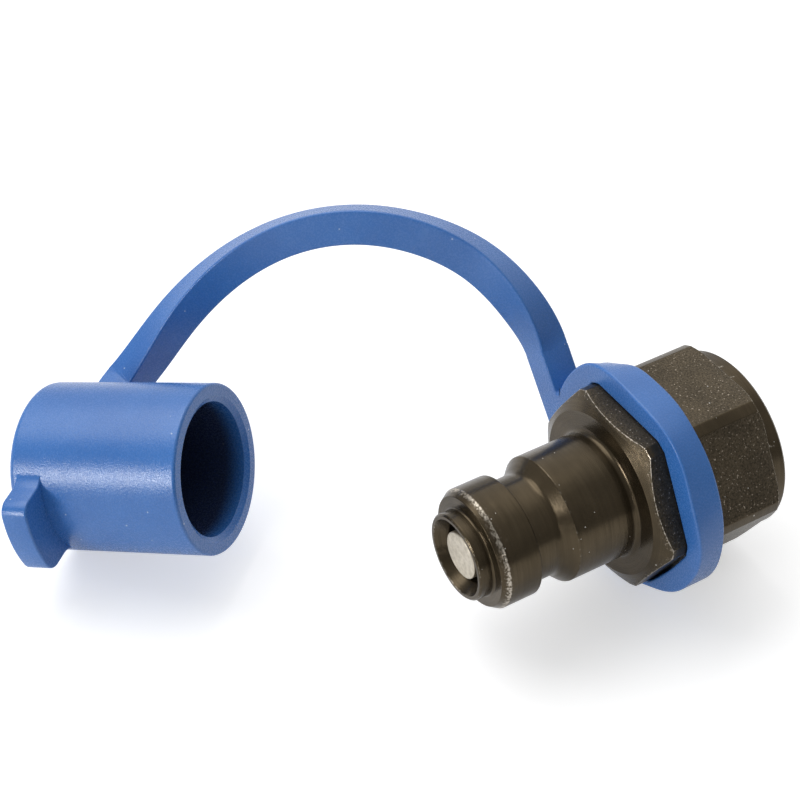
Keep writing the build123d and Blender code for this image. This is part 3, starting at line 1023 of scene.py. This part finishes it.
def cap_inside(tree, position):
    """Share that is 1 inside the cap and falls to 0 at its mouth: a point is inside where it is
    nearer the cap's axis than the bore and in front of the middle of the end wall."""
    offset = node(tree, "ShaderNodeVectorMath", {0: position, 1: to_row(cap_mouth)}, operation="SUBTRACT")
    offset = offset.outputs[0]
    depth = node(tree, "ShaderNodeVectorMath", {0: offset, 1: cap_axis}, operation="DOT_PRODUCT")
    depth = depth.outputs["Value"]
    squared = node(tree, "ShaderNodeVectorMath", {0: offset, 1: offset}, operation="DOT_PRODUCT")
    squared = squared.outputs["Value"]
    depth_squared = maths(tree, "MULTIPLY", depth, depth)
    from_axis = maths(tree, "SQRT", maths(tree, "SUBTRACT", squared, depth_squared))
    near_axis = maths(tree, "LESS_THAN", from_axis, (cap_bore + 0.1) * MM)
    deep = between(tree, depth, 0.0005, 0.004)
    before_end = maths(tree, "LESS_THAN", depth, (cap_depth + cap_length) / 2 * MM)
    inside = maths(tree, "MULTIPLY", near_axis, before_end)
    return maths(tree, "MULTIPLY", inside, deep)


def blue_moulding_finish(grain, specks):
    """Soft blue plastic: even colour, an eroded mould's fine grain, rubbed spots and dust, and
    painted shade that darkens the cap's inside from its mouth inwards."""
    made, tree, shader, position = material("blue_moulding", Specular_IOR_Level=0.62)
    skin = place_group(tree, grain, Position=position, Scale=3600.0)
    cloud = between(tree, noise(tree, position, 120.0, 3.0, 0.55), 0.3, 0.7)
    colour = blend_colour(tree, cloud, (0.035, 0.145, 0.44, 1), (0.041, 0.162, 0.475, 1))
    rubbed = between(tree, noise(tree, position, 420.0, 4.0, 0.65), 0.62, 0.75, 0.0, 0.15)
    colour = blend_colour(tree, rubbed, colour, (0.13, 0.27, 0.58, 1))
    dust = place_group(tree, specks, Position=position, Scale=800.0, Share=0.11)
    colour = blend_colour(tree, maths(tree, "MULTIPLY", dust["Speck"], 0.75), colour, (0.6, 0.68, 0.8, 1))
    # Painted shade: the cap's inside turns near black, where the recess would be in shade
    painted_shade_inside = maths(tree, "MULTIPLY", cap_inside(tree, position), 0.9)
    colour = blend_colour(tree, painted_shade_inside, colour, (0.02, 0.022, 0.045, 1))
    rough = maths(tree, "ADD", between(tree, skin["Grain"], 0.0, 1.0, 0.23, 0.3), rubbed)
    set_finish(tree, shader, colour, rough)
    bump(tree, shader, skin["Grain"], 0.000011)
    return made


def aim(obj, right, up, forward, place):
    """Object placed so that its X, Y and -Z point along right, up and forward."""
    turn = Matrix([[right[i], up[i], -forward[i], place[i]] for i in range(3)] + [[0, 0, 0, 1]])
    obj.matrix_world = turn


def make_camera():
    """Camera at the photograph's place: it looks down by 42 degrees at the plug's nose and side."""
    lens = bpy.data.cameras.new("camera")
    lens.lens = 81.0
    lens.sensor_width = 36.0
    lens.clip_start = 0.01
    camera = bpy.data.objects.new("camera", lens)
    bpy.context.scene.collection.objects.link(camera)
    right = np.array([0.85854, -0.51264, -0.00996])
    up = np.array([0.34959, 0.57104, 0.74276])
    forward = np.array([0.37508, 0.64117, -0.66948])
    place = to_row([-91.15, -141.44, 180.69])
    aim(camera, right, up, forward, place)
    bpy.context.scene.camera = camera


def area_light(name, place, target, size, power):
    """Soft rectangular lamp at a place in metres, facing the target."""
    lamp = bpy.data.lights.new(name, "AREA")
    lamp.shape = "RECTANGLE"
    lamp.size, lamp.size_y = size
    lamp.energy = power
    obj = bpy.data.objects.new(name, lamp)
    bpy.context.scene.collection.objects.link(obj)
    forward = unit(np.asarray(target, float) - np.asarray(place, float))
    right = unit(np.cross(forward, [0, 0, 1.0]))
    aim(obj, right, np.cross(right, forward), forward, place)


def make_floor():
    """Pale floor that the object stands on, brightened for the camera so that it reads as white."""
    level = cad_bounds[0][2]
    mesh = bpy.data.meshes.new("floor")
    half = 3.0
    mesh.from_pydata(
        [(-half, -half, level), (half, -half, level), (half, half, level), (-half, half, level)],
        [],
        [(0, 1, 2, 3)],
    )
    floor = bpy.data.objects.new("floor", mesh)
    bpy.context.scene.collection.objects.link(floor)
    made, tree, shader, _ = material("floor_pale", 0.0, 0.9)
    shader.inputs["Base Color"].default_value = (0.86, 0.86, 0.86, 1)
    shader.inputs["Specular IOR Level"].default_value = 0.0
    rays = node(tree, "ShaderNodeLightPath").outputs
    glossy = maths(tree, "MULTIPLY", rays["Is Glossy Ray"], 0.4)
    seen = maths(tree, "MAXIMUM", rays["Is Camera Ray"], glossy)
    seen = maths(tree, "MAXIMUM", seen, rays["Is Transmission Ray"])
    shader.inputs["Emission Color"].default_value = (1, 1, 1, 1)
    tree.links.new(maths(tree, "MULTIPLY", seen, 0.42), shader.inputs["Emission Strength"])
    floor.data.materials.append(made)


def make_world():
    """Pale room: brightest 41 degrees up behind the object, and dim behind the camera.

    The level follows the cosine of the angle between a direction and the bright end's.
    """
    world = bpy.data.worlds.new("studio")
    bpy.context.scene.world = world
    world.use_nodes = True
    tree = world.node_tree
    tree.nodes.clear()
    way = node(tree, "ShaderNodeTexCoord").outputs["Generated"]
    bright_end = (0.515, 0.552, 0.656)
    facing = node(tree, "ShaderNodeVectorMath", {0: way, 1: bright_end}, operation="DOT_PRODUCT")
    facing = facing.outputs["Value"]
    room = between(tree, facing, -0.5, 0.6, 0.2, 0.46)
    level = maths(tree, "ADD", room, between(tree, facing, 0.6, 0.98, 0.0, 0.7))
    rays = node(tree, "ShaderNodeLightPath").outputs
    level = maths(tree, "MAXIMUM", level, rays["Is Camera Ray"])
    back = node(tree, "ShaderNodeBackground", {"Color": (1, 1, 1, 1), "Strength": level})
    output = node(tree, "ShaderNodeOutputWorld")
    tree.links.new(back.outputs[0], output.inputs[0])


body = make_plug_body()
poppet = make_poppet()
seal = make_poppet_seal()
spring = make_valve_spring()
cap = make_dust_cap()
carry_cad_nodes()

marks = turning_marks_group()
grain = grain_group()
specks = specks_group()
wear = wear_group()
give(body, dark_steel_finish(marks, grain, specks, wear))
# Pale and shadow colour, roughness and metallic share of each bright metal
tip = ((0.74, 0.68, 0.57), (0.5, 0.45, 0.36), 0.42)
wire = ((0.6, 0.59, 0.57), (0.4, 0.39, 0.38), 0.28, 1.0)
stamping = ((0.58, 0.55, 0.5), (0.4, 0.38, 0.34), 0.32, 1.0)
give(poppet, bright_metal_finish("poppet_metal", marks, grain, *tip))
give(seal, seal_rubber_finish(grain))
give(spring, bright_metal_finish("spring_wire", marks, grain, *wire))
give(cap, blue_moulding_finish(grain, specks))
guide_metal = bright_metal_finish("guide_metal", marks, grain, *stamping)
give(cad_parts["valve_guide"], guide_metal)
give(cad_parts["snap_ring"], guide_metal)

make_camera()
make_floor()
make_world()
middle = np.array([-0.045, 0.02, 0.0])
# Name, heading and height in degrees, distance, size and power of each lamp
LAMPS = [
    ("top", 116, 58, 0.6, (0.5, 0.5), 1.8),
    ("left", -177, 15, 0.6, (0.22, 0.07), 1.3),
    ("front_left", -137, 9, 0.6, (0.04, 0.04), 0.1),
]
for name, heading, height, away, size, power in LAMPS:
    turn, rise = math.radians(heading), math.radians(height)
    way = np.array([math.cos(rise) * math.cos(turn), math.cos(rise) * math.sin(turn), math.sin(rise)])
    area_light(name, middle + way * away, middle, size, power)
bpy.context.scene.view_settings.view_transform = "Standard"
